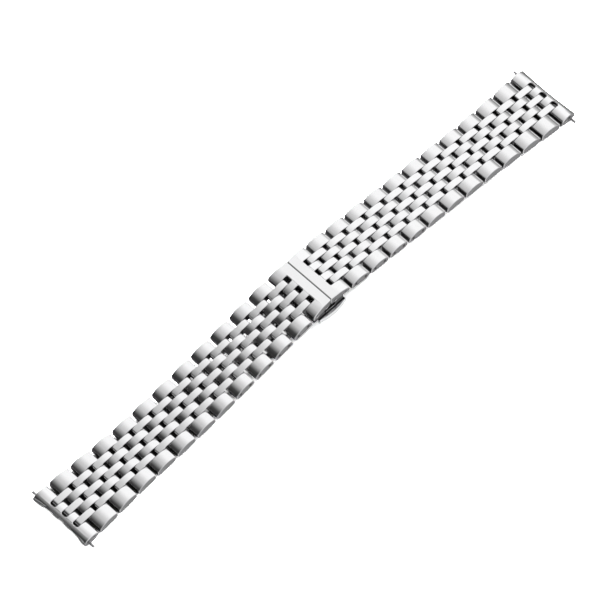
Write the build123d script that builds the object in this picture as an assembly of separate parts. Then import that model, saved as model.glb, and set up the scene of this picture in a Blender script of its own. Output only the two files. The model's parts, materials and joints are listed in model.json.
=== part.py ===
from build123d import *
import math
import os

# A seven-column steel link bracelet for a wrist watch, laid out as a low tent: the folded clasp
# stands on the table and the two straps slope down from it. The origin is on the table, under
# the seam of the two clasp covers. +X runs along the right strap, +Y across it, +Z is up.
# The left half has the same pieces as the right one, turned half a turn about +Z. Its strap
# bends down at the clasp and ends almost flat, and the right strap is straight.

# Driving dimensions of the strap, in millimetres and degrees
link_pitch = 6.7              # from one link to the next one of its column
link_length = 5.95
link_end_half = 0.65          # half the height of a link's flat ends
link_crest = 1.55             # height of a link's top above its pins
link_belly = 1.4              # depth of its underside below them
link_bevel = 0.15
strap_width = 16.0
inner_width = 1.75            # the three narrow columns between the outer rows' links
inner_end_top = 1.1           # height of their flatter tops at the ends, above the pins
inner_nose = 0.6              # radius of their noses
middle_width = 2.0            # the two wider columns beside the centre one
column_gap = 0.05
outer_rows = 11
left_slopes = (11.3, 10.1, 2.2, 2.1)   # below level, at the shares of the strap that follow
slope_shares = (0, 0.35, 0.7, 1)

# Driving dimensions of the pins
pin_radius = 0.4
fixed_fit = 0.02              # radial, where a pin is held
running_fit = 0.05            # radial, where a link turns on its pin
pin_recess = 0.3              # of a removable pin's ends below the strap's sides
bore_skin = 0.7               # steel left outside a closed pin hole
removable_rows = 4            # outer rows next to the clasp whose pins can be pushed out

# Driving dimensions of the end links and the flare of the strap towards them
end_link_width = 17.9
flare_rows = 3
flare_curve_share = 1.25
end_link_length = 4.65
end_link_crest = 1.45
end_link_edge_top = 0.45      # height of the top at the concave edge, above the pins
end_link_sagitta = 0.6        # of the concave edge that faces the watch case
end_slot_gap = 0.35           # between the last inner links and the bottom of their slots
end_slot_corner = 0.5
last_link_corner = 0.4
outer_lug_width = 2.55        # of the end link's outer lugs round the spring bar

# Driving dimensions of the spring bars
lug_width = 18.0              # of the watch case, between whose lugs the shoulders stand
bar_inset = 1.475             # from the concave edge's corners to the spring bar
bar_drop = 0.45               # of the spring bar below the pins
bar_radius = 0.6
bar_fit = 0.05
lug_barrel_radius = 0.85
shoulder_radius = 0.55
shoulder_length = 0.6
tip_radius = 0.38
tip_reach = 1.6               # tip beyond its shoulder
plunger_radius = 0.38
plunger_fit = 0.05
plunger_depth = 3.0           # of the moving tip's rod inside the tube
tip_travel = 1.65             # enough to draw the tip back out of its hole in the watch case
tip_play = 0.1                # left between shoulder and tube when the tip is pushed in

# Driving dimensions of the clasp covers
cover_reach = 6.6             # from the seam to the middle of the first gap
seam_gap = 0.08
seam_width = 15.2
cover_flat = 2.6
cover_drop = 1.13             # of the top from the seam to the prong tips
cover_plate = 0.9
cover_depth = 2.65
cheek_gap = 0.25              # between a cheek and the leaf beside it
cover_slot_gap = 0.85         # between the first inner links and the bottom of their slots
cover_slot_corner = 0.3
relief_start = 2.4            # from the seam to the slanted end of the hollow over the leaf
relief_run = 1.2

# Driving dimensions of the folding leaves
leaf_pin_x = 1.45
leaf_pin_z = -2.0             # below the seam's top
leaf_knuckle_radius = 0.85
leaf_thickness = 0.9
leaf_width = 9.0
leaf_fork_gap = 6.6
leaf_fork_reach = 5.2         # from the seam to where the two arms join the leaf

# Driving dimensions of the centre plate, its hinges and the latch block
hinge_span = 31.0             # between the two hinge axes
hinge_radius = 1.4
hinge_pin_radius = 0.55
hinge_clearance = 0.15
barrel_width = 6.2
barrel_gap = 0.1
plate_thickness = 1.0
plate_depth = 6.5             # of its middle line at the seam, below the seam's top
leaf_plate_gap = 0.25
wing_length = 6.8             # of the plate's wings under the block's walls
block_width = 13.7
block_length = 10.0
block_top = -3.3              # below the seam's top, as the next two values are
bridge_top = -4.75
pocket_floor = -5.7
bridge_length = 5.2
wall_gap = 0.3                # between the leaves' sides and the block's walls
pocket_length = 3.7

# Driving dimensions of the push buttons and the covers' catches
button_top = -3.95            # below the seam's top
button_length = 9.2
button_thickness = 1.6
button_slab = 0.6             # depth of the slab behind the bowed cap, across the strap
button_step = 0.15            # of the slab below the cap
button_rim = 0.15             # thickness of the cap's ends
button_bulge = 0.7
button_edge = 0.25
button_travel = 0.7
button_rest_gap = 0.05        # left between slab and block when the button is pushed in
tongue_fit = 0.1              # round the tongue in its slot
tongue_width = 3.4
tongue_thickness = 0.6
head_width = 4.6
window_width = 3.6
window_edge = 0.5
catch_start = 0.15            # from the seam
catch_width = 0.7
catch_inner = 1.6             # from the middle line to the catch's stem
catch_depth = 0.8             # of the stem, across the strap
hook_reach = 0.5
hook_height = 0.45
hook_gap = 0.1
catch_bottom = -5.2

overrun = 1.0                 # by which cutting tools pass the faces they cut

# Values worked out from the driving dimensions
link_gap = link_pitch - link_length
pin_offset = link_pitch / 4
hinge_count = 2 * outer_rows + 2
side_line = strap_width / 2
inner_centres = (0, inner_width + middle_width + 2 * column_gap)
middle_centre = (inner_width + middle_width) / 2 + column_gap
outer_start = 1.5 * inner_width + middle_width + 3 * column_gap
cover_pin = (cover_reach - pin_offset, -cover_drop - link_end_half)
cover_tip = cover_reach - link_gap / 2
cover_slot_end = cover_reach - link_length / 2 - cover_slot_gap
end_tip = link_gap / 2
end_edge = end_tip + end_link_length
bar_x = end_edge - bar_inset
bar_bore = bar_radius + bar_fit
last_end_radius = math.hypot(bar_x - pin_offset, bar_drop) - bar_bore
end_slot_end = pin_offset + last_end_radius + end_slot_gap


def along(start, slope, run, rise=0):
    """The place that lies run further down a slope and rise square to it, from a start place."""
    angle = math.radians(slope)
    x = start[0] + run * math.cos(angle) + rise * math.sin(angle)
    return x, start[1] - run * math.sin(angle) + rise * math.cos(angle)


def left_slope(number):
    """Slope of the body after hinge 1, 2, 3 ... of the left strap, in degrees below level."""
    share = (number - 1) / (hinge_count - 1)
    step = sum(share > limit for limit in slope_shares[1:-1])
    reached = (share - slope_shares[step]) / (slope_shares[step + 1] - slope_shares[step])
    return left_slopes[step] + (left_slopes[step + 1] - left_slopes[step]) * reached


def chain(slopes):
    """Pin places (x, z) of a strap, from the cover's pin outwards, below the seam's top."""
    places = [cover_pin]
    for slope in slopes[:-1]:
        places.append(along(places[-1], slope, link_pitch / 2))
    return places


def arc_radius(chord, height):
    """Radius of an arc that rises by height over its chord."""
    return (chord ** 2 / 4 + height ** 2) / (2 * height)


# The end link's belly is a round arc. Its lowest point touches the table on the left, and the
# right strap has the slope that brings its own end link down to the table too.
belly_radius = arc_radius(end_link_length, link_belly - link_end_half)
belly_run = end_tip + end_link_length / 2 - pin_offset
belly_rise = belly_radius - link_belly
slopes = {"left": [left_slope(number) for number in range(1, hinge_count + 1)]}
pins = {"left": chain(slopes["left"])}
seam_height = belly_radius - along(pins["left"][-1], slopes["left"][-1], belly_run, belly_rise)[1]
right_run = (hinge_count - 1) * link_pitch / 2 + belly_run
right_drop = seam_height - belly_radius + cover_pin[1]
right_slope = math.degrees(
    math.atan2(belly_rise, right_run) + math.asin(right_drop / math.hypot(right_run, belly_rise))
)
slopes["right"] = [right_slope] * hinge_count
pins["right"] = chain(slopes["right"])
hinge_x = hinge_span / 2
hinge_z = hinge_radius - seam_height
plate_rise = -plate_depth - hinge_z
plate_radius = arc_radius(hinge_span, plate_rise)
plate_centre = -plate_depth - plate_radius
leaf_radius = plate_radius + (plate_thickness + leaf_thickness) / 2 + leaf_plate_gap
button_bottom = button_top - button_thickness
wall_inner = leaf_width / 2 + wall_gap
slab_back = block_width / 2 + button_travel + button_rest_gap
tongue_bottom = bridge_top + tongue_fit
tongue_top = tongue_bottom + tongue_thickness


def prism(face, low, high):
    """A face drawn on the XZ plane, made solid from y = low to y = high."""
    return Pos(0, high, 0) * extrude(Plane.XZ * face, amount=high - low)


def slab(x0, x1, y0, y1, z0, z1):
    """A box from its lowest to its highest corner."""
    middle = Pos((x0 + x1) / 2, (y0 + y1) / 2, (z0 + z1) / 2)
    return middle * Box(x1 - x0, y1 - y0, z1 - z0)


def rod(x, z, radius, low, high):
    """A round bar along Y."""
    return prism(Pos(x, z) * Circle(radius), low, high)


def plan_cut(points, low, high):
    """A prism on an outline in plan."""
    return Pos(0, 0, low) * extrude(make_face(Polyline(*points, close=True)), amount=high - low)


def lens_face(end_top=link_end_half):
    """Side view of a link: flat ends, a round crest and a round belly."""
    half = link_length / 2
    edges = [
        Line((-half, -link_end_half), (-half, end_top)),
        ThreePointArc((-half, end_top), (0, link_crest), (half, end_top)),
        Line((half, end_top), (half, -link_end_half)),
        ThreePointArc((half, -link_end_half), (0, -link_belly), (-half, -link_end_half)),
    ]
    return make_face(edges)


def bevelled(solid):
    """A solid with its long edges taken off, as a polishing wheel leaves them."""
    return chamfer(solid.edges(), link_bevel)


def round_ended(length, width, corner):
    """A rectangle in plan, from x = 0 to x = length, whose far corners are rounded."""
    shape = Pos(length / 2, 0) * RectangleRounded(length, width, corner)
    return shape + Pos(length / 4, 0) * Rectangle(length / 2, width)


def inner_link(y, last=False):
    """One link of the three narrow columns, which turns on its pins."""
    low = y - inner_width / 2
    high = y + inner_width / 2
    link = prism(lens_face(inner_end_top), low, high)
    noses = [edge for edge in link.edges().filter_by(Axis.Y) if edge.center().Z > link_end_half]
    link = bevelled(fillet(noses, inner_nose))
    if last:
        length = link_length / 2 + pin_offset + last_end_radius
        plan = Pos(-link_length / 2, y) * round_ended(length, inner_width, last_link_corner)
        link &= Pos(0, 0, -link_crest) * extrude(plan, amount=2 * link_crest)
        turned = rod(pin_offset, 0, last_end_radius, low, high)
        link &= slab(-link_length, pin_offset, low, high, -link_crest, link_crest) + turned
    for x in (-pin_offset, pin_offset):
        link -= rod(x, 0, pin_radius + running_fit, low - overrun, high + overrun)
    return link


def middle_link(y):
    """One link of the two wide columns beside the centre one."""
    low = y - middle_width / 2
    high = y + middle_width / 2
    link = bevelled(prism(lens_face(), low, high))
    for x in (-pin_offset, pin_offset):
        link -= rod(x, 0, pin_radius + fixed_fit, low - overrun, high + overrun)
    return link


def side_at(number):
    """Half the strap's width at the gap after outer row number, where row 0 is the cover."""
    back = min(outer_rows - number, flare_rows) / flare_rows
    return (strap_width + (end_link_width - strap_width) * (1 - back) ** flare_curve_share) / 2


def outer_link(side, number):
    """One link of the two outer columns, on the far side (1) or the near side (-1)."""
    start = side_at(number - 1)
    end = side_at(number)
    widest = max(start, end) + overrun
    half = link_pitch / 2
    link = prism(lens_face(), outer_start, widest)
    plan = [(-half, 0), (half, 0), (half, end), (-half, start)]
    link = bevelled(link & plan_cut(plan, -link_belly - overrun, link_crest + overrun))
    reach = widest + overrun if number <= removable_rows else start - bore_skin
    for x in (-pin_offset, pin_offset):
        link -= rod(x, 0, pin_radius + fixed_fit, outer_start - overrun, reach)
    return link if side > 0 else Rot(0, 0, 180) * turned_end_for_end(link)


def turned_end_for_end(link):
    """A link turned end for end, so that half a turn about Z brings it to the near side."""
    return mirror(link, about=Plane.YZ)


def row_pins(number):
    """The two pins of an outer row, which its outer links hold at their ends."""
    half = side_at(number - 1)
    half -= pin_recess if number <= removable_rows else bore_skin + pin_recess
    return [rod(x, 0, pin_radius, -half, half) for x in (-pin_offset, pin_offset)]


def outer_row(number):
    """Two outer links, two middle links and their two pins."""
    links = [outer_link(side, number) for side in (1, -1)]
    links += [middle_link(side * middle_centre) for side in (1, -1)]
    return links + row_pins(number)


def inner_row(last=False):
    """Three narrow links side by side."""
    return [inner_link(y, last) for y in (inner_centres[0], inner_centres[1], -inner_centres[1])]


def slot_tools(closed_end, open_end, corner):
    """Cutters for the three slots of a comb, with round corners at their closed ends."""
    width = inner_width + 2 * column_gap
    turn = 180 if closed_end < open_end else 0
    plan = Pos(open_end, 0) * Rot(0, 0, turn) * round_ended(abs(open_end - closed_end), width, corner)
    tool = Pos(0, 0, -strap_width) * extrude(plan, amount=2 * strap_width)
    return [Pos(0, y, 0) * tool for y in (inner_centres[0], inner_centres[1], -inner_centres[1])]


def end_link():
    """The comb that carries the spring bar. Its x runs outwards from the middle of the last gap."""
    half = end_link_width / 2
    middle = end_tip + end_link_length / 2
    outline = [
        Line((end_tip, -link_end_half), (end_tip, link_end_half)),
        ThreePointArc((end_tip, link_end_half), (middle, end_link_crest), (end_edge, end_link_edge_top)),
        Line((end_edge, end_link_edge_top), (end_edge, -link_end_half)),
        ThreePointArc((end_edge, -link_end_half), (middle, -link_belly), (end_tip, -link_end_half)),
    ]
    body = prism(make_face(outline), -half, half)
    radius = arc_radius(end_link_width, end_link_sagitta)
    body -= Pos(end_edge - end_link_sagitta + radius, 0) * Cylinder(radius, strap_width)
    for tool in slot_tools(end_slot_end, end_tip - overrun, end_slot_corner):
        body -= tool
    body = chamfer([edge for edge in body.edges() if edge.center().Z > end_link_edge_top / 2], link_bevel)
    under = bar_x - bar_bore - bar_fit
    notch_top = bar_bore - bar_drop
    lug_start = half - outer_lug_width
    body -= slab(under, end_edge + overrun, -lug_start, lug_start, -link_belly - overrun, notch_top)
    lugs = [(lug_start, half), (inner_width / 2 + column_gap, middle_centre + middle_width / 2)]
    for low, high in lugs:
        for lug in ((low, high), (-high, -low)):
            body += rod(bar_x, -bar_drop, lug_barrel_radius, *lug)
            body += slab(under - bar_fit, bar_x, *lug, -bar_drop - lug_barrel_radius, notch_top + bar_fit)
    body -= rod(bar_x, -bar_drop, bar_bore, -half - overrun, half + overrun)
    body -= rod(pin_offset, 0, pin_radius + fixed_fit, -half - overrun, half + overrun)
    reach = half - bore_skin
    return [body, rod(pin_offset, 0, pin_radius, -reach, reach)]


def spring_bar():
    """The tube with its fixed tip on the far side. The moving tip is a piece of its own."""
    shoulder = lug_width / 2
    tube_end = -shoulder + shoulder_length + tip_travel + tip_play
    body = rod(0, 0, bar_radius, tube_end, shoulder - shoulder_length)
    body += rod(0, 0, shoulder_radius, shoulder - shoulder_length, shoulder)
    body += rod(0, 0, tip_radius, shoulder, shoulder + tip_reach)
    bore_end = tube_end + plunger_depth + tip_travel + tip_play
    return body - rod(0, 0, plunger_radius + plunger_fit, tube_end - overrun, bore_end)


def spring_bar_tip():
    """The moving tip, on the near side: a rod in the tube, a shoulder and the tip itself."""
    shoulder = lug_width / 2
    inside = -shoulder + shoulder_length
    tube_end = inside + tip_travel + tip_play
    body = rod(0, 0, plunger_radius, inside, tube_end + plunger_depth)
    body += rod(0, 0, shoulder_radius, -shoulder, inside)
    return body + rod(0, 0, tip_radius, -shoulder - tip_reach, -shoulder)


def cover():
    """The right clasp cover, with the leaf's pin and the first strap pin in its cheeks."""
    run = cover_tip - cover_flat
    radius = (run ** 2 + cover_drop ** 2) / (2 * cover_drop)
    half_run = run / 2
    half_drop = radius - math.sqrt(radius ** 2 - half_run ** 2)
    seam = seam_gap / 2
    tip_bottom = -cover_drop - 2 * link_end_half
    outline = [
        Line((seam, -cover_depth), (seam, 0)),
        Line((seam, 0), (cover_flat, 0)),
        ThreePointArc((cover_flat, 0), (cover_flat + half_run, -half_drop), (cover_tip, -cover_drop)),
        Line((cover_tip, -cover_drop), (cover_tip, tip_bottom)),
        Line((cover_tip, tip_bottom), (cover_tip - link_gap, -cover_depth)),
        Line((cover_tip - link_gap, -cover_depth), (seam, -cover_depth)),
    ]
    body = prism(make_face(outline), -side_line - overrun, side_line + overrun)
    start = seam_width / 2
    plan = [(seam, -start), (cover_tip, -side_line), (cover_tip, side_line), (seam, start)]
    body = body & plan_cut(plan, -cover_depth - overrun, overrun)
    for tool in slot_tools(cover_slot_end, cover_tip + overrun, cover_slot_corner):
        body -= tool
    body = bevelled(body)
    relief = [
        (-overrun, -cover_plate),
        (relief_start, -cover_plate),
        (relief_start + relief_run, -cover_depth),
        (relief_start + relief_run, -cover_depth - overrun),
        (-overrun, -cover_depth - overrun),
    ]
    hollow = leaf_width / 2 + cheek_gap
    body -= prism(make_face(Polyline(*relief, close=True)), -hollow, hollow)
    hook_top = catch_bottom + hook_height
    stop = catch_start + catch_width
    for side in (1, -1):
        stem = sorted((side * catch_inner, side * (catch_inner + catch_depth)))
        hook = sorted((side * (catch_inner - hook_reach), side * (catch_inner + catch_depth)))
        body += slab(catch_start, stop, *stem, catch_bottom, -cover_plate / 2)
        body += slab(catch_start, stop, *hook, catch_bottom, hook_top)
    reach = side_line + overrun
    for x, z in (cover_pin, (leaf_pin_x, leaf_pin_z)):
        body -= rod(x, z, pin_radius + fixed_fit, -reach, reach)
    strap_half = side_line - 2 * pin_recess
    leaf_half = seam_width / 2 - pin_recess
    strap_pin = rod(*cover_pin, pin_radius, -strap_half, strap_half)
    return [body, strap_pin, rod(leaf_pin_x, leaf_pin_z, pin_radius, -leaf_half, leaf_half)]


def on_arc(radius, x):
    """The place at x on an arc about the centre plate's own centre."""
    return x, plate_centre + math.sqrt(radius ** 2 - x ** 2)


def band_face(radius, thickness, start, end):
    """Side view of a curved plate between two places along X."""
    inner = radius - thickness / 2
    outer = radius + thickness / 2
    middle = (start + end) / 2
    edges = [
        Line(on_arc(inner, start), on_arc(outer, start)),
        ThreePointArc(on_arc(outer, start), on_arc(outer, middle), on_arc(outer, end)),
        Line(on_arc(outer, end), on_arc(inner, end)),
        ThreePointArc(on_arc(inner, end), on_arc(inner, middle), on_arc(inner, start)),
    ]
    return make_face(edges)


def leaf():
    """The right folding leaf: a fork at the cover's pin, a curved plate and a barrel at its hinge."""
    half = leaf_width / 2
    join = on_arc(leaf_radius, leaf_fork_reach)
    fall = leaf_pin_z - join[1]
    run = leaf_fork_reach - leaf_pin_x
    tilt = math.degrees(math.atan2(fall, run))
    arm_length = math.hypot(run, fall)
    arm_middle = ((leaf_pin_x + leaf_fork_reach) / 2, (leaf_pin_z + join[1]) / 2)
    arm = prism(Pos(*arm_middle) * Rot(0, 0, -tilt) * Rectangle(arm_length, leaf_thickness), -half, half)
    knee = rod(*join, leaf_thickness / 2, -half, half)
    plate = prism(band_face(leaf_radius, leaf_thickness, leaf_fork_reach, hinge_x), -half, half)
    body = arm + knee + plate
    body -= rod(hinge_x, hinge_z, hinge_radius + hinge_clearance, -half - overrun, half + overrun)
    body += barrel_block(leaf_radius, leaf_thickness)
    body += rod(leaf_pin_x, leaf_pin_z, leaf_knuckle_radius, -half, half)
    fork = leaf_fork_gap / 2
    body -= slab(-overrun, leaf_fork_reach, -fork, fork, hinge_z, 0)
    body -= rod(leaf_pin_x, leaf_pin_z, pin_radius + running_fit, -half - overrun, half + overrun)
    bore = hinge_pin_radius + running_fit
    return body - rod(hinge_x, hinge_z, bore, -half - overrun, half + overrun)


def barrel_block(radius, thickness):
    """The leaf's own barrel with the neck that joins it to the plate, between the outer barrels."""
    half = barrel_width / 2
    neck = prism(band_face(radius, thickness, hinge_x - 2 * hinge_radius, hinge_x), -half, half)
    return neck + rod(hinge_x, hinge_z, hinge_radius, -half, half)


def centre_plate():
    """The arched plate under the folded leaves, with a hinge pin at each end."""
    half = leaf_width / 2
    middle = barrel_width / 2 + barrel_gap
    wing = wing_length / 2
    body = prism(band_face(plate_radius, plate_thickness, -hinge_x, hinge_x), -half, half)
    body += prism(band_face(plate_radius, plate_thickness, -wing, wing), -block_width / 2, block_width / 2)
    pins = []
    for x in (hinge_x, -hinge_x):
        body += rod(x, hinge_z, hinge_radius, -half, half)
        body -= rod(x, hinge_z, hinge_radius + hinge_clearance, -middle, middle)
        body -= rod(x, hinge_z, hinge_pin_radius + fixed_fit, -half - overrun, half + overrun)
        pins.append(rod(x, hinge_z, hinge_pin_radius, -half + pin_recess, half - pin_recess))
    return [body] + pins


def latch_block():
    """The housing on the middle of the plate: two side walls and the bridge between them."""
    bottom = -plate_depth - plate_rise
    length = block_length / 2
    bridge = bridge_length / 2
    outer = block_width / 2
    body = slab(-bridge, bridge, -wall_inner, wall_inner, bottom, bridge_top)
    way = tongue_width / 2 + tongue_fit
    pocket = pocket_length / 2
    for side in (1, -1):
        wall = sorted((side * wall_inner, side * outer))
        body += slab(-length, length, *wall, bottom, block_top)
        slot = sorted((side * (wall_inner - overrun), side * (outer + overrun)))
        body -= slab(-way, way, *slot, bridge_top, tongue_top + tongue_fit)
        hook = catch_inner - hook_reach - 2 * hook_gap
        well = sorted((side * hook, side * (catch_inner + catch_depth + hook_gap)))
        body -= slab(-pocket, pocket, *well, pocket_floor, block_top)
    seat = Rot(90, 0, 0) * Cylinder(plate_radius + plate_thickness / 2, 2 * block_width)
    return body - Pos(0, 0, plate_centre) * seat


def push_button():
    """The far push button: a bowed cap, its slab and the tongue with a window for the catches."""
    half = button_length / 2
    chord = slab_back + button_slab
    rim = chord + button_rim
    bow = [
        Line((-half, chord), (-half, rim)),
        ThreePointArc((-half, rim), (0, rim + button_bulge), (half, rim)),
        Line((half, rim), (half, chord)),
        Line((half, chord), (-half, chord)),
    ]
    cap = Pos(0, 0, button_bottom) * extrude(make_face(bow), amount=button_thickness)
    cap = fillet(cap.edges().filter_by(GeomType.CIRCLE), button_edge)
    neck = half - button_step
    cap += slab(-neck, neck, slab_back, chord, button_bottom + button_step, button_top - button_step)
    bar = catch_inner - hook_reach
    head = head_width / 2
    window_start = catch_inner - hook_gap
    window_end = catch_inner + catch_depth + button_travel + hook_gap
    tongue = slab(-tongue_width / 2, tongue_width / 2, bar, slab_back, tongue_bottom, tongue_top)
    tongue += slab(-head, head, bar, window_end + window_edge, tongue_bottom, tongue_top)
    window = slab(-window_width / 2, window_width / 2, window_start, window_end, pocket_floor, 0)
    return cap + (tongue - window)


# Placing the pieces, and one file for each node
os.makedirs("parts", exist_ok=True)
seam_top = Pos(0, 0, seam_height)
halves = {"right": seam_top, "left": Rot(0, 0, 180) * seam_top}


def save(name, pieces):
    """Write one node, whose pieces stay separate solids."""
    solids = [solid for piece in pieces for solid in piece.solids()]
    shape = solids[0] if len(solids) == 1 else Compound(children=solids)
    export_step(shape, f"parts/{name}.step")


def body_place(half, number):
    """Where the body after a hinge of one strap stands: its middle, turned to its slope."""
    slope = slopes[half][number - 1]
    x, z = along(pins[half][number - 1], slope, pin_offset)
    return halves[half] * Pos(x, 0, z) * Rot(0, slope, 0)


plain_inner = inner_row()
last_inner = inner_row(last=True)
rows = [outer_row(number) for number in range(1, outer_rows + 1)]
comb = end_link()
cover_pieces = cover()
leaf_piece = leaf()
for half, turned in halves.items():
    for number in range(1, hinge_count):
        row = (number + 1) // 2
        kind = "inner" if number % 2 else "outer"
        inner = last_inner if number == hinge_count - 1 else plain_inner
        pieces = inner if kind == "inner" else rows[row - 1]
        place = body_place(half, number)
        save(f"{half}_{kind}_row_{row:02d}", [place * piece for piece in pieces])
    last_gap = body_place(half, hinge_count) * Pos(-2 * pin_offset, 0, 0)
    save(f"{half}_end_link", [last_gap * piece for piece in comb])
    bar_place = last_gap * Pos(bar_x, 0, -bar_drop)
    save(f"{half}_spring_bar", [bar_place * spring_bar()])
    save(f"{half}_spring_bar_tip", [bar_place * spring_bar_tip()])
    save(f"{half}_cover", [turned * piece for piece in cover_pieces])
    save(f"{half}_leaf", [turned * leaf_piece])

save("centre_plate", [seam_top * piece for piece in centre_plate()])
save("latch_block", [seam_top * latch_block()])
button = push_button()
save("far_button", [halves["right"] * button])
save("near_button", [halves["left"] * button])

print(f"seam height {seam_height:.3f}, right slope {right_slope:.3f}, plate radius {plate_radius:.2f}")
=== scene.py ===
import json
import math
import bmesh
import bpy
import numpy as np
from mathutils import Matrix, Vector

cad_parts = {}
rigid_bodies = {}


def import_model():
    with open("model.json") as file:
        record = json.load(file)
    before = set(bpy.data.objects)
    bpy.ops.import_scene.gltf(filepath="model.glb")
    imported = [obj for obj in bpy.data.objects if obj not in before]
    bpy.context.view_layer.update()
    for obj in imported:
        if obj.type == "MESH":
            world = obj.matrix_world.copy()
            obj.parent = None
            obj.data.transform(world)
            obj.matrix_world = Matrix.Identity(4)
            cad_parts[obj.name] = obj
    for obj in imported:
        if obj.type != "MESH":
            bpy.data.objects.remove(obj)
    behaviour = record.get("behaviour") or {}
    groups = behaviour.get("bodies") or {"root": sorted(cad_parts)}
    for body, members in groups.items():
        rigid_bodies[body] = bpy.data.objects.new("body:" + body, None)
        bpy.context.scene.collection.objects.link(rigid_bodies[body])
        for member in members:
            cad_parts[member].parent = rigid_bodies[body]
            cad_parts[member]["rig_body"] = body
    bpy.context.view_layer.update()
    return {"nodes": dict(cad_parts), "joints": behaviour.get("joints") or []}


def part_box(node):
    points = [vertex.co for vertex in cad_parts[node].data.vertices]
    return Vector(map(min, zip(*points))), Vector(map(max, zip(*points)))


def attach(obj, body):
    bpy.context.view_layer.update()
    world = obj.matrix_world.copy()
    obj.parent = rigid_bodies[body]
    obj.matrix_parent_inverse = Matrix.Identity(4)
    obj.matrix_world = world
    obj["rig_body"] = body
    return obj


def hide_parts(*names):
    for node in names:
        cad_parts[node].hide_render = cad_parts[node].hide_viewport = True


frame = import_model()

# Camera
# A long lens looks down on the bracelet from the front left, so the strap crosses the frame
# from corner to corner. It aims at the seam of the clasp, which stands highest.
picture_width = 600
seam_pixel = (308.7, 280.2)
camera_turn = math.radians(44.37)
camera_height = math.radians(59.87)
camera_roll = math.radians(0.95)
camera_distance = 1.2998
camera_sees_to = 10
pixels_per_metre = 4134.0
film_width = 36.0
seam = Vector((0, 0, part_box("right_cover")[1][2]))
level_right = Vector((math.cos(camera_turn), -math.sin(camera_turn), 0))
back = Vector((
    -math.sin(camera_turn) * math.cos(camera_height),
    -math.cos(camera_turn) * math.cos(camera_height),
    math.sin(camera_height),
))
level_up = back.cross(level_right)
right = level_right * math.cos(camera_roll) - level_up * math.sin(camera_roll)
up = level_right * math.sin(camera_roll) + level_up * math.cos(camera_roll)
facing = Matrix((right, up, back)).transposed().to_4x4()
camera = bpy.data.objects.new("camera", bpy.data.cameras.new("camera"))
bpy.context.scene.collection.objects.link(camera)
camera.matrix_world = Matrix.Translation(seam + back * camera_distance) @ facing
camera.data.sensor_width = film_width
camera.data.lens = pixels_per_metre * camera_distance * film_width / picture_width
camera.data.shift_x = (picture_width / 2 - seam_pixel[0]) / picture_width
camera.data.shift_y = (seam_pixel[1] - picture_width / 2) / picture_width
camera.data.clip_end = camera_sees_to
bpy.context.scene.camera = camera
bpy.context.scene.view_settings.view_transform = "Standard"

# Studio
# A white table under a half-round tent of white cloth, open at both ends, such as jewellery is
# photographed in. The tent's left side is black, as is a cloth on the table there, and a bent
# grey card lies and stands beyond the strap's right end. The table is painted darker under the
# strap: a painted shadow, from how much of its sky the strap hides.
world_light = 0.1
table_size = 4.0
table_colour = (0.8, 0.8, 0.8, 1)
table_colour_seen = (9.0, 9.0, 9.0, 1)
shade_reach = 0.03
shade_samples = 12
shade_stops = [(0, 0.015), (0.28, 0.02), (0.42, 1), (1, 1)]
tent_radius = 1.0
tent_front = -1.3
tent_back = 1.9
tent_panels = 90
tent_glow = [
    (-90, 0.6), (-80, 0.6), (-68, 0.04), (-54, 0.045), (-44, 0.065), (-34, 0.24), (-23, 0.48),
    (-13, 0.70), (-4, 0.77), (5, 0.89), (15, 1.04), (25, 1.18), (35, 1.24), (72, 1.24), (84, 0.6),
    (90, 0.2),
]
card_start = 0.0862
card_bend = 0.125
card_height = 0.031
card_half = 0.3
card_lift = 0.0001
card_glow = [(0, 0.25), (0.6, 0.25), (0.67, 0.32), (0.76, 0.5), (0.83, 0.65), (1, 1.0)]
cloth_end = 0.5
cloth_glow = [(0, 0.03), (1, 0.03)]


class Wire:
    """One output in a shader. Sums and products of wires and numbers add their Math nodes."""

    def __init__(self, tree, socket=None):
        self.tree = tree
        self.socket = socket

    def node(self, kind, inputs=None, output=0, stops=None, **settings):
        """A node of a kind: its settings are made first, then its inputs get values or wires."""
        made = self.tree.nodes.new(kind)
        for name, value in settings.items():
            setattr(made, name, value)
        if stops:
            marks = made.color_ramp.elements
            while len(marks) < len(stops):
                marks.new(1)
            for mark, (place, level) in zip(marks, stops):
                mark.position = place
                mark.color = (level, level, level, 1)
        for name, value in (inputs or {}).items():
            if isinstance(value, Wire):
                self.tree.links.new(value.socket, made.inputs[name])
            else:
                made.inputs[name].default_value = value
        return Wire(self.tree, made.outputs[output] if made.outputs else None)

    def maths(self, operation, *terms):
        return self.node("ShaderNodeMath", dict(enumerate(terms)), operation=operation)

    def __add__(self, other):
        return self.maths("ADD", self, other)

    def __sub__(self, other):
        return self.maths("SUBTRACT", self, other)

    def __rsub__(self, other):
        return self.maths("SUBTRACT", other, self)

    def __mul__(self, other):
        return self.maths("MULTIPLY", self, other)

    __radd__ = __add__
    __rmul__ = __mul__


def empty_tree(owner):
    """The node tree of a material or the world, cleared."""
    owner.use_nodes = True
    owner.node_tree.nodes.clear()
    return Wire(owner.node_tree)


def ray_kind(tree, *kinds):
    """1 where a ray is of one of some kinds, as Light Path names them, and 0 elsewhere."""
    path = tree.node("ShaderNodeLightPath")
    return sum(Wire(tree.tree, path.socket.node.outputs[kind]) for kind in kinds)


def mixed(tree, share, first, second, blend="MIX"):
    """A colour mixed from two, by a share from 0 to 1, or multiplied."""
    inputs = {"Factor": share, 6: first, 7: second}
    return tree.node("ShaderNodeMix", inputs, output=2, data_type="RGBA", blend_type=blend)


world = bpy.data.worlds.new("white_surroundings")
bpy.context.scene.world = world
tree = empty_tree(world)
seen = ray_kind(tree, "Is Camera Ray", "Is Glossy Ray", "Is Transmission Ray")
level = world_light + (1 - world_light) * seen
sky = tree.node("ShaderNodeBackground", {"Color": (1, 1, 1, 1), "Strength": level})
tree.node("ShaderNodeOutputWorld", {"Surface": sky})

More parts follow.
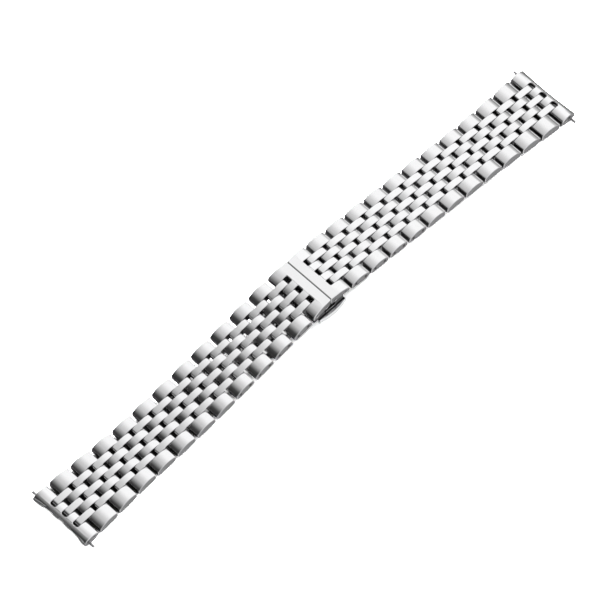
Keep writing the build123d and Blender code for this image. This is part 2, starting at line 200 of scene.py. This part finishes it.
table_mesh = bpy.data.meshes.new("table")
half_table = table_size / 2
corners = [(x * half_table, y * half_table, 0) for x, y in ((-1, -1), (1, -1), (1, 1), (-1, 1))]
table_mesh.from_pydata(corners, [], [(0, 1, 2, 3)])
table = bpy.data.objects.new("table", table_mesh)
bpy.context.scene.collection.objects.link(table)
table.data.materials.append(bpy.data.materials.new("pale_table"))
tree = empty_tree(table.data.materials[0])
# Painted shadow: the table's colour, and the white it shows to mirrors, go dark where the strap is
# close above.
occlusion = {"Distance": shade_reach}
open_sky = tree.node("ShaderNodeAmbientOcclusion", occlusion, output="AO", samples=shade_samples)
under = tree.node("ShaderNodeValToRGB", {"Fac": open_sky}, stops=shade_stops)
shade = mixed(tree, ray_kind(tree, "Is Camera Ray"), table_colour, table_colour_seen)
matt = tree.node("ShaderNodeBsdfDiffuse", {"Color": mixed(tree, 1.0, shade, under, "MULTIPLY")})
white = tree.node("ShaderNodeEmission", {"Color": under, "Strength": 1.0})
mirrored = ray_kind(tree, "Is Glossy Ray", "Is Transmission Ray")
surface = tree.node("ShaderNodeMixShader", {0: mirrored, 1: matt, 2: white})
tree.node("ShaderNodeOutputMaterial", {"Surface": surface})


def lit_cloth(name, x, z, front, back, glow):
    """Cloth or card that stretches along Y over a line of points (x, z), lit by its own ramp.

    The place along the line, from 0 at its first point to 1 at its last, picks the level.
    """
    length = np.concatenate([[0], np.cumsum(np.hypot(np.diff(x), np.diff(z)))])
    points = np.stack([np.tile(x, 2), np.repeat([front, back], len(x)), np.tile(z, 2)], axis=1)
    first = np.arange(len(x) - 1)
    panels = np.stack([first, first + 1, first + 1 + len(x), first + len(x)], axis=1)
    mesh = bpy.data.meshes.new(name)
    mesh.from_pydata(points.tolist(), [], panels.tolist())
    places = mesh.attributes.new("place", "FLOAT", "POINT")
    places.data.foreach_set("value", np.tile(length / length[-1], 2))
    made = bpy.data.objects.new(name, mesh)
    bpy.context.scene.collection.objects.link(made)
    made.visible_camera = False
    mesh.materials.append(bpy.data.materials.new(name))
    tree = empty_tree(mesh.materials[0])
    place = tree.node("ShaderNodeAttribute", attribute_name="place", output="Fac")
    brightest = max(level for share, level in glow)
    stops = [(share, level / brightest) for share, level in glow]
    shade = tree.node("ShaderNodeValToRGB", {"Fac": place}, stops=stops)
    light = tree.node("ShaderNodeEmission", {"Color": shade, "Strength": brightest})
    tree.node("ShaderNodeOutputMaterial", {"Surface": light})
    return made


tilt = np.radians(np.linspace(-90, 90, tent_panels + 1))
tent_x = tent_radius * np.sin(tilt)
tent_z = tent_radius * np.cos(tilt)
tent_shares = [((angle + 90) / 180, level) for angle, level in tent_glow]
tent = lit_cloth("tent", tent_x, tent_z, tent_front, tent_back, tent_shares)
card_x = np.array([card_start, card_bend, card_bend])
card_z = np.array([card_lift, card_lift, card_height])
card = lit_cloth("grey_card", card_x, card_z, -card_half, card_half, card_glow)
cloth_x = np.array([-cloth_end, -card_start])
cloth_z = np.array([card_lift, card_lift])
cloth = lit_cloth("black_cloth", cloth_x, cloth_z, -card_half, card_half, cloth_glow)
for piece in (card, cloth):
    piece.visible_shadow = False
    piece.visible_diffuse = False

# Outer and middle links
# Solid steel links, forged to a lens shape. Their tops are polished with a faint lengthwise grain,
# their sides brushed and painted dark, a painted shade, and the faces below and between them
# milled and painted darker still, a painted shade for the gaps. They sit still on drawn pins. The
# outer ones widen near the end link, and those of the rows that come out are drilled through.
link_length = 0.00595
link_pitch = 0.0067
end_height = 0.00065
crest = 0.00155
belly = 0.0014
under_end = 0.00115
top_corner = 0.00035
corner = 0.0002
rim = 0.00013
lens_steps = (6, 4, 2, 3)
# All other leans take the dark milled finish, a painted shade on the links' rounded ends.
# Leans that stay bright: polish from 0 to 32 degrees, and a painted highlight line from 46 to 61.
lens_polish_and_highlight = ((0, 32), (46, 61))
pin_run = link_pitch / 4
outer_start = 0.004775
middle_start = 0.000925
middle_end = 0.002925
strap_half = 0.008
end_half = 0.00895
outer_rows = 11
flare_rows = 3
flare_power = 1.25
pin_radius = 0.0004
pin_edge = 0.00008
pin_edge_lean = 0.7
pin_centre_share = 0.25
pin_steps = 16
hole_radius = 0.00042
hole_edge = 0.000042
hole_depth = 0.0007
pin_recess = 0.0003
drilled_rows = 4
split_points = 3
polished_colour = (0.77, 0.77, 0.775)
# The sides' colour is darkened: a painted shade on top of their brushed finish.
shaded_side_colour = (0.17, 0.17, 0.175)
# Milled steel painted darker still: a painted shade for faces below and between parts.
milled_shade_colour = (0.1, 0.1, 0.103)
drawn_colour = (0.5, 0.5, 0.51)
cloud_scale = 350.0
cloud_detail = 2.0
cloud_shade = 0.96
cloud_roughness = 0.04
grain_detail = 3.0
grain_strength = 0.15


def steel(name, colour, roughness, grain, grain_scale, grain_depth):
    """Steel whose grain is noise stretched along one axis, with faint wider clouds of wear."""
    made = bpy.data.materials.new(name)
    tree = empty_tree(made)
    spot = tree.node("ShaderNodeTexCoord", output="Object")
    stretched = tree.node("ShaderNodeVectorMath", {0: spot, 1: grain_scale}, operation="MULTIPLY")
    streaks = {"Vector": stretched, "Scale": 1.0, "Detail": grain_detail}
    streak = tree.node("ShaderNodeTexNoise", streaks)
    clouds = {"Vector": spot, "Scale": cloud_scale, "Detail": cloud_detail}
    cloud = tree.node("ShaderNodeTexNoise", clouds)
    worn = [part * cloud_shade for part in colour]
    body = tree.node("ShaderNodeBsdfPrincipled", {
        "Base Color": mixed(tree, cloud, (*colour, 1), (*worn, 1)),
        "Metallic": 1.0,
        "Roughness": roughness + grain * (streak - 0.5) + cloud_roughness * (cloud - 0.5),
        "Normal": tree.node("ShaderNodeBump", {
            "Height": streak,
            "Strength": grain_strength,
            "Distance": grain_depth,
        }),
    })
    tree.node("ShaderNodeOutputMaterial", {"Surface": body})
    return made


satin = steel(
    "satin_steel", polished_colour, roughness=0.09, grain=0.05,
    grain_scale=(300.0, 6000.0, 3000.0), grain_depth=0.000004)
brushed_shaded = steel(
    "brushed_shaded_steel", shaded_side_colour, roughness=0.3, grain=0.12,
    grain_scale=(300.0, 3000.0, 9000.0), grain_depth=0.000006)
milled_shaded = steel(
    "milled_shaded_steel", milled_shade_colour, roughness=0.42, grain=0.15,
    grain_scale=(2500.0, 700.0, 2500.0), grain_depth=0.000006)
drawn = steel(
    "drawn_steel", drawn_colour, roughness=0.3, grain=0.1,
    grain_scale=(4000.0, 400.0, 4000.0), grain_depth=0.000004)


def arc_radius(half, rise):
    """The radius of an arc that rises by rise over half its chord: (half² + rise²) / (2 rise)."""
    return (half ** 2 + rise ** 2) / (2 * rise)


def along_arcs(arcs):
    """Points along arcs that follow each other: outward angle, and centre and radius, per point.

    An arc gives its first and last angle, its steps, its centre's x and z and its radius. A point
    is centre + radius * (sin angle, cos angle). The last point of each arc is left out.
    """
    angles = [np.linspace(start, end, count + 1)[:-1] for start, end, count, *_ in arcs]
    centres = [np.tile(place, (count, 1)) for _, _, count, *place in arcs]
    return np.concatenate(angles), np.concatenate(centres)


def outline(half, crest, end_top, top_corner, belly, end_bottom, bottom_corner, steps):
    """A link's side view, clockwise from the top, as along_arcs gives it.

    The crest is an arc over the link's length, the belly one below it, and each corner is an arc
    that touches its two neighbours. The left half is the right one flipped.
    """
    crest_radius = arc_radius(half, crest - end_top)
    belly_radius = arc_radius(half, belly - end_bottom)
    top_x = half - top_corner
    low_x = half - bottom_corner
    top_tilt = math.asin(top_x / (crest_radius - top_corner))
    low_tilt = math.pi - math.asin(low_x / (belly_radius - bottom_corner))
    top_z = crest - crest_radius + math.sqrt((crest_radius - top_corner) ** 2 - top_x ** 2)
    low_z = belly_radius - belly - math.sqrt((belly_radius - bottom_corner) ** 2 - low_x ** 2)
    angle, centres = along_arcs([
        (0, top_tilt, steps[0], 0, crest - crest_radius, crest_radius),
        (top_tilt, math.pi / 2, steps[1], top_x, top_z, top_corner),
        (math.pi / 2, low_tilt, steps[2], low_x, low_z, bottom_corner),
        (low_tilt, math.pi, steps[3], 0, belly_radius - belly, belly_radius),
    ])
    angle = np.append(angle, math.pi)
    centres = np.vstack([centres, centres[-1]])
    flipped = centres[1:-1][::-1] * (-1, 1, 1)
    return np.concatenate([angle, -angle[1:-1][::-1]]), np.vstack([centres, flipped])


def strips(first, width, rings):
    """Quads between rings of points that follow each other, each ring closed on itself."""
    ring = np.arange(width)
    after = np.roll(ring, -1)
    rows = first + width * np.arange(rings - 1)[:, None]
    quads = np.stack([rows + ring, rows + after, rows + width + after, rows + width + ring], axis=-1)
    return quads.reshape(-1, 4).tolist()


def drilled_side(points, normals, width, far, slant):
    """Two holes in a bar's far side, whose outline is the last ring of points.

    The outline is cut in two by a line of points down its middle. In each half, rings of points
    lie at centre + radius * (sin way, cos way), where way is the direction in which the hole's
    centre sees each point of the half's outline. Gives all points and normals, and the side's
    faces and their finish: 1 round the hole and 2 in it.
    """
    edge = len(points) - width
    bottom = edge + width // 2
    middle_z = np.linspace(points[bottom, 2], points[edge, 2], split_points + 2)[1:-1]
    middle_y = np.full(split_points, points[edge, 1])
    upward = list(range(len(points), len(points) + split_points))
    points = np.vstack([points, np.stack([0 * middle_z, middle_y, middle_z], axis=1)])
    normals = np.vstack([normals, np.tile([0, 1.0, 0], (split_points, 1))])
    right_loop = list(range(edge, bottom + 1)) + upward
    left_loop = [edge] + upward[::-1] + list(range(bottom, edge + width))
    faces = []
    finish = []
    for loop, centre in ((right_loop, pin_run), (left_loop, -pin_run)):
        way = np.arctan2(points[loop][:, 0] - centre, points[loop][:, 2])
        rings = []
        for grow, sink, inward in ((hole_edge, 0, 0), (0, hole_edge, 1), (0, hole_depth, 1)):
            radius = hole_radius + grow
            x = centre + radius * np.sin(way)
            y = far - sink + slant * x
            outward = np.full(len(way), 1.0 - inward)
            lean = [-np.sin(way) * inward, outward, -np.cos(way) * inward]
            rings.append(len(points))
            points = np.vstack([points, np.stack([x, y, radius * np.cos(way)], axis=1)])
            normals = np.vstack([normals, np.stack(lean, axis=1)])
        ring = list(range(rings[0], rings[0] + len(loop)))
        after = ring[1:] + ring[:1]
        next_loop = loop[1:] + loop[:1]
        faces += [[a, b, c, d] for a, b, c, d in zip(loop, next_loop, after, ring)]
        faces += strips(rings[0], len(loop), len(rings))
        faces.append(list(range(rings[-1], rings[-1] + len(loop))))
        finish.append(np.repeat([1, 1, 2], len(loop)))
        finish.append([2])
    return points, normals, faces, np.concatenate(finish)


def bar(shape, near, far, polish_and_highlight_leans, slant=0.0, drilled=False):
    """A bar along Y with a given outline and round rims: points, normals, faces and their finish.

    The outline is carried along Y. At both ends it shrinks by rim * (1 - cos t) while it moves
    out by rim * sin t, for t from 0 to 90 degrees. The far side may slant in plan, by slant * x,
    and may be drilled. Finishes: 0 on the rims, and on top where the outline leans within one of
    some ranges of degrees, which hold polish and may hold a painted highlight line; 1 on the sides,
    2 below and between the links and at all other leans, where the milled finish is a painted shade.
    """
    angle, centres = shape
    x, z, radius = centres.T
    turn = np.radians([-90, -45, 0, 0, 45, 90])[:, None]
    at_far = np.array([0, 0, 0, 1, 1, 1])[:, None]
    inset = radius - rim * (1 - np.cos(turn))
    px = x + inset * np.sin(angle)
    pz = z + inset * np.cos(angle)
    side = np.where(at_far, far - rim, near + rim)
    py = side + rim * np.sin(turn) + at_far * slant * px
    points = np.stack([px, py, pz], axis=-1).reshape(-1, 3)
    lean = [np.cos(turn) * np.sin(angle), np.sin(turn) + 0 * angle, np.cos(turn) * np.cos(angle)]
    normals = np.stack(lean, axis=-1).reshape(-1, 3)
    width = len(angle)
    faces = strips(0, width, len(turn))
    faces.append(list(range(width))[::-1])
    leaning = np.degrees(np.abs(angle + np.roll(angle, -1)) / 2)
    # The quad after the lowest point has angles of 180 and nearly -180 degrees, and looks down.
    leaning[np.argmax(angle)] = 180
    wall = np.full(width, 2)
    # Leans outside these ranges keep finish 2, the painted shade; inside, polish or a painted
    # highlight.
    for least, most in polish_and_highlight_leans:
        wall[(leaning >= least) & (leaning < most)] = 0
    finish = np.concatenate([0 * wall, 0 * wall, wall, 0 * wall, 0 * wall, [1]])
    if not drilled:
        faces.append(list(range(len(points) - width, len(points))))
        return points, normals, faces, np.append(finish, 1)
    points, normals, side_faces, side_finish = drilled_side(points, normals, width, far, slant)
    return points, normals, faces + side_faces, np.concatenate([finish, side_finish])


def turned_about(part):
    """A piece turned half a turn about Z."""
    points, normals, faces, finish = part
    return points * (-1, -1, 1), normals * (-1, -1, 1), faces, finish


def drawn_pin(x, near, far):
    """A pin along Y: rings of growing radius, one long wall, and rings that close it again.

    A point is (x + radius * sin t, place, radius * cos t), for t once round the pin.
    """
    around = np.linspace(0, 2 * math.pi, pin_steps, endpoint=False)
    centre = pin_centre_share * pin_radius
    face = pin_radius - pin_edge
    radii = np.array([centre, face, pin_radius, pin_radius, face, centre])[:, None]
    places = np.array([near, near, near + pin_edge, far - pin_edge, far, far])[:, None]
    lean = np.array([-1, -pin_edge_lean, 0, 0, pin_edge_lean, 1])[:, None]
    flat = np.sqrt(1 - lean ** 2)
    points = [x + radii * np.sin(around), places + 0 * around, radii * np.cos(around)]
    normals = [flat * np.sin(around), lean + 0 * around, flat * np.cos(around)]
    last = pin_steps * (len(radii) - 1)
    faces = strips(0, pin_steps, len(radii))
    faces += [list(range(pin_steps))[::-1], list(range(last, last + pin_steps))]
    points, normals = (np.stack(part, axis=-1).reshape(-1, 3) for part in (points, normals))
    return points, normals, faces, np.full(len(faces), 3)


def placed(name, parts, finishes, turn, shift):
    """One object from several pieces, turned and shifted to their place."""
    points = np.vstack([part[0] for part in parts]) @ turn.T + shift
    normals = np.vstack([part[1] for part in parts]) @ turn.T
    starts = np.cumsum([0] + [len(part[0]) for part in parts[:-1]]).tolist()
    faces = [[start + end for end in face] for start, part in zip(starts, parts) for face in part[2]]
    mesh = bpy.data.meshes.new(name)
    mesh.from_pydata(points.tolist(), [], faces)
    for finish in finishes:
        mesh.materials.append(finish)
    finish_of_face = np.concatenate([part[3] for part in parts])
    mesh.polygons.foreach_set("material_index", finish_of_face.astype(np.int32))
    mesh.polygons.foreach_set("use_smooth", np.ones(len(faces), bool))
    mesh.normals_split_custom_set_from_vertices(normals.tolist())
    mesh.update()
    made = bpy.data.objects.new(name, mesh)
    bpy.context.scene.collection.objects.link(made)
    return made


pins = {"right": [], "left": []}
for joint in frame["joints"]:
    half, kind = joint["name"].split("_")[:2]
    if kind == "hinge":
        pins[half].append(joint["pos_m"])


def row_place(half, number):
    """How the row after one pin of the strap is turned, and its middle between its two pins."""
    here, there = (Vector(pins[half][number + step]) for step in (0, 1))
    along = (there - here).normalized()
    over = Vector((0, 0, 1)).cross(along).normalized()
    turn = np.array([along, over, along.cross(over)]).T
    return turn, np.array((here + there) / 2)


def half_width(number):
    """Half the strap's width after an outer row: it widens over the last rows, slowly at first.

    The width grows by (1 - rows left / rows of the flare) ** flare_power of the whole growth.
    """
    rows_left = min(outer_rows - number, flare_rows)
    return strap_half + (end_half - strap_half) * (1 - rows_left / flare_rows) ** flare_power


half_length = link_length / 2
lens = outline(half_length, crest, end_height, top_corner, belly, under_end, corner, lens_steps)
middle = bar(lens, middle_start, middle_end, lens_polish_and_highlight)
for half in ("right", "left"):
    for row in range(1, outer_rows + 1):
        start = half_width(row - 1)
        end = half_width(row)
        side = (start + end) / 2
        slant = (end - start) / link_pitch
        drilled = row <= drilled_rows
        far_link = bar(lens, outer_start, side, lens_polish_and_highlight, slant, drilled)
        near_link = turned_about(bar(lens, outer_start, side, lens_polish_and_highlight, -slant, drilled))
        reach = start - (pin_recess if drilled else hole_depth)
        row_pins = [drawn_pin(x, -reach, reach) for x in (-pin_run, pin_run)]
        parts = [far_link, near_link, middle, turned_about(middle)] + row_pins
        finishes = [satin, brushed_shaded, milled_shaded, drawn]
        name = f"{half}_outer_row_{row:02d}"
        made = placed(name + "_links", parts, finishes, *row_place(half, 2 * row - 1))
        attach(made, frame["nodes"][name]["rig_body"])
        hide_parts(name)

# Inner links
# Three narrow steel links side by side, which turn on the pins of the outer rows. They are forged
# flatter on top than the outer links, with rounder noses, and buffed to a smoother polish. Their
# noses below the top and their bellies are painted dark, a painted shade.
inner_rows = outer_rows + 1
inner_half_width = 0.000875
inner_step = 0.00385
flat_end = 0.0011
nose = 0.0006
nose_steps = (6, 5, 2, 3)
# Beyond 62 degrees the noses and bellies take the dark milled finish, a painted shade.
nose_polished = ((0, 62),)
last_crest = 0.001347
last_flat_end = 0.001147
last_round = 0.00128
last_steps = (6, 6, 6, 3)
search_steps = 400
inner_colour = (0.78, 0.78, 0.785)
buffed = steel(
    "buffed_steel", inner_colour, roughness=0.07, grain=0.03,
    grain_scale=(300.0, 4000.0, 3000.0), grain_depth=0.000003)


def last_outline():
    """The last inner link's side view, with its far end rounded about its pin in the end link.

    From the top: the crest, an arc that touches it and goes about the pin until it meets the
    belly, and the belly. The other end is that of the other inner links, with the lower crest.
    """
    other = outline(
        half_length, last_crest, last_flat_end, nose, belly, end_height, corner, nose_steps)
    crest_radius = arc_radius(half_length, last_crest - last_flat_end)
    belly_radius = arc_radius(half_length, belly - end_height)
    round_z = math.sqrt((crest_radius - last_round) ** 2 - pin_run ** 2) + last_crest - crest_radius
    way = np.linspace(math.pi / 2, math.pi, search_steps)
    way_x = pin_run + last_round * np.sin(way)
    below = belly_radius - belly - np.sqrt(belly_radius ** 2 - way_x ** 2)
    meet = way[last_round * np.cos(way) > below][-1]
    belly_from = math.pi - math.asin((pin_run + last_round * math.sin(meet)) / belly_radius)
    tilt = math.asin(pin_run / (crest_radius - last_round))
    angle, centres = along_arcs([
        (0, tilt, last_steps[0], 0, last_crest - crest_radius, crest_radius),
        (tilt, math.pi / 2, last_steps[1], pin_run, round_z, last_round),
        (math.pi / 2, meet, last_steps[2], pin_run, 0, last_round),
        (belly_from, math.pi, last_steps[3], 0, belly_radius - belly, belly_radius),
    ])
    low = np.argmax(other[0])
    return np.concatenate([angle, other[0][low:]]), np.vstack([centres, other[1][low:]])


flat_lens = outline(half_length, crest, flat_end, nose, belly, end_height, corner, nose_steps)
last_lens = last_outline()
for half in ("right", "left"):
    for row in range(1, inner_rows + 1):
        shape = last_lens if row == inner_rows else flat_lens
        parts = [
            bar(shape, y - inner_half_width, y + inner_half_width, nose_polished)
            for y in (-inner_step, 0, inner_step)
        ]
        finishes = [buffed, buffed, milled_shaded]
        name = f"{half}_inner_row_{row:02d}"
        made = placed(name + "_links", parts, finishes, *row_place(half, 2 * row - 2))
        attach(made, frame["nodes"][name]["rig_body"])
        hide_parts(name)

# Clasp
# Two covers with a mirror polish, the leaves that fold under them, and a plate with a latch block
# and two push buttons between these. All are machined from steel with eased edges and turn on
# pressed-in pins. The faces inside are painted near-black: a painted shade for the clasp's dark
# inside.
ease = 0.00006
cap_ease = 0.00003
cap_depth = 0.001
ease_steps = 2
merge_within = 0.0000005
flat_within = math.radians(0.2)
edge_from = math.radians(30)
top_lean = 0.5
side_lean = 0.8
bright_colour = (0.79, 0.79, 0.795)
# Near-black steel: a painted shade for the faces inside the clasp.
painted_shade_colour = (0.03, 0.03, 0.032)
mirror = steel(
    "mirror_steel", bright_colour, roughness=0.05, grain=0.02,
    grain_scale=(900.0, 900.0, 900.0), grain_depth=0.000002)
painted_shade = steel(
    "painted_shade_steel", painted_shade_colour, roughness=0.45, grain=0.1,
    grain_scale=(1500.0, 1500.0, 1500.0), grain_depth=0.000008)


def eased(name, finishes, width=ease, shade_within=0.0):
    """A copy of a machined piece, its flat faces made whole and its edges eased.

    Faces that look up take the first finish, faces that look across the strap the second, and
    all others the third, as do all faces nearer to the strap's middle line than a given width.
    The eased edges take the first.
    """
    node = frame["nodes"][name]
    shape = bmesh.new()
    shape.from_mesh(node.data)
    bmesh.ops.remove_doubles(shape, verts=shape.verts, dist=merge_within)
    bmesh.ops.dissolve_limit(shape, verts=shape.verts, edges=shape.edges, angle_limit=flat_within)
    mesh = bpy.data.meshes.new(name + "_eased")
    shape.to_mesh(mesh)
    shape.free()
    for finish in finishes:
        mesh.materials.append(finish)
    lean = np.empty(len(mesh.polygons) * 3)
    mesh.polygons.foreach_get("normal", lean)
    lean = lean.reshape(-1, 3)
    index = np.where(lean[:, 2] > top_lean, 0, np.where(np.abs(lean[:, 1]) > side_lean, 1, 2))
    middle = np.empty(len(mesh.polygons) * 3)
    mesh.polygons.foreach_get("center", middle)
    index[np.abs(middle[1::3]) < shade_within] = 2
    mesh.polygons.foreach_set("material_index", index.astype(np.int32))
    mesh.polygons.foreach_set("use_smooth", np.ones(len(index), bool))
    made = bpy.data.objects.new(name + "_eased", mesh)
    bpy.context.scene.collection.objects.link(made)
    bevel = made.modifiers.new("eased_edges", "BEVEL")
    bevel.width = width
    bevel.segments = ease_steps
    bevel.limit_method = "ANGLE"
    bevel.angle_limit = edge_from
    bevel.use_clamp_overlap = False
    bevel.harden_normals = True
    bevel.material = 0
    made.modifiers.new("even_shading", "WEIGHTED_NORMAL").keep_sharp = True
    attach(made, node["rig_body"])
    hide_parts(name)


# Painted shade: the leaves' and plate's sides, the whole latch block and the buttons' backs are
# near-black.
# The covers' sides are painted dark and their other faces darker still, a painted shade.
for half in ("right", "left"):
    eased(half + "_cover", [mirror, brushed_shaded, milled_shaded])
    eased(half + "_leaf", [satin, painted_shade, milled_shaded])
eased("centre_plate", [satin, painted_shade, milled_shaded])
eased("latch_block", [painted_shade, painted_shade, painted_shade])
# A button's faces nearer the middle than its cap take the painted shade.
cap_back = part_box("far_button")[1][1] - cap_depth
for name in ("far_button", "near_button"):
    eased(name, [mirror, mirror, painted_shade], cap_ease, cap_back)

# End links
# A comb with three slots, where the last inner links turn on its pressed-in pin. It is machined
# from solid steel, hollowed at its outer edge to sit against the watch, with a mirror-polished
# top and brushed sides. The sides are painted dark and its other faces darker still, a painted
# shade.
for half in ("right", "left"):
    eased(half + "_end_link", [mirror, brushed_shaded, milled_shaded])

# Spring bars
# Drawn steel tubes with turned tips, one at each end of the strap. They are pushed into the end
# link's bore, and the tip at one end slides in, so that the bar comes out of the watch's lugs.
for half in ("right", "left"):
    for name in (half + "_spring_bar", half + "_spring_bar_tip"):
        frame["nodes"][name].data.materials.clear()
        frame["nodes"][name].data.materials.append(drawn)
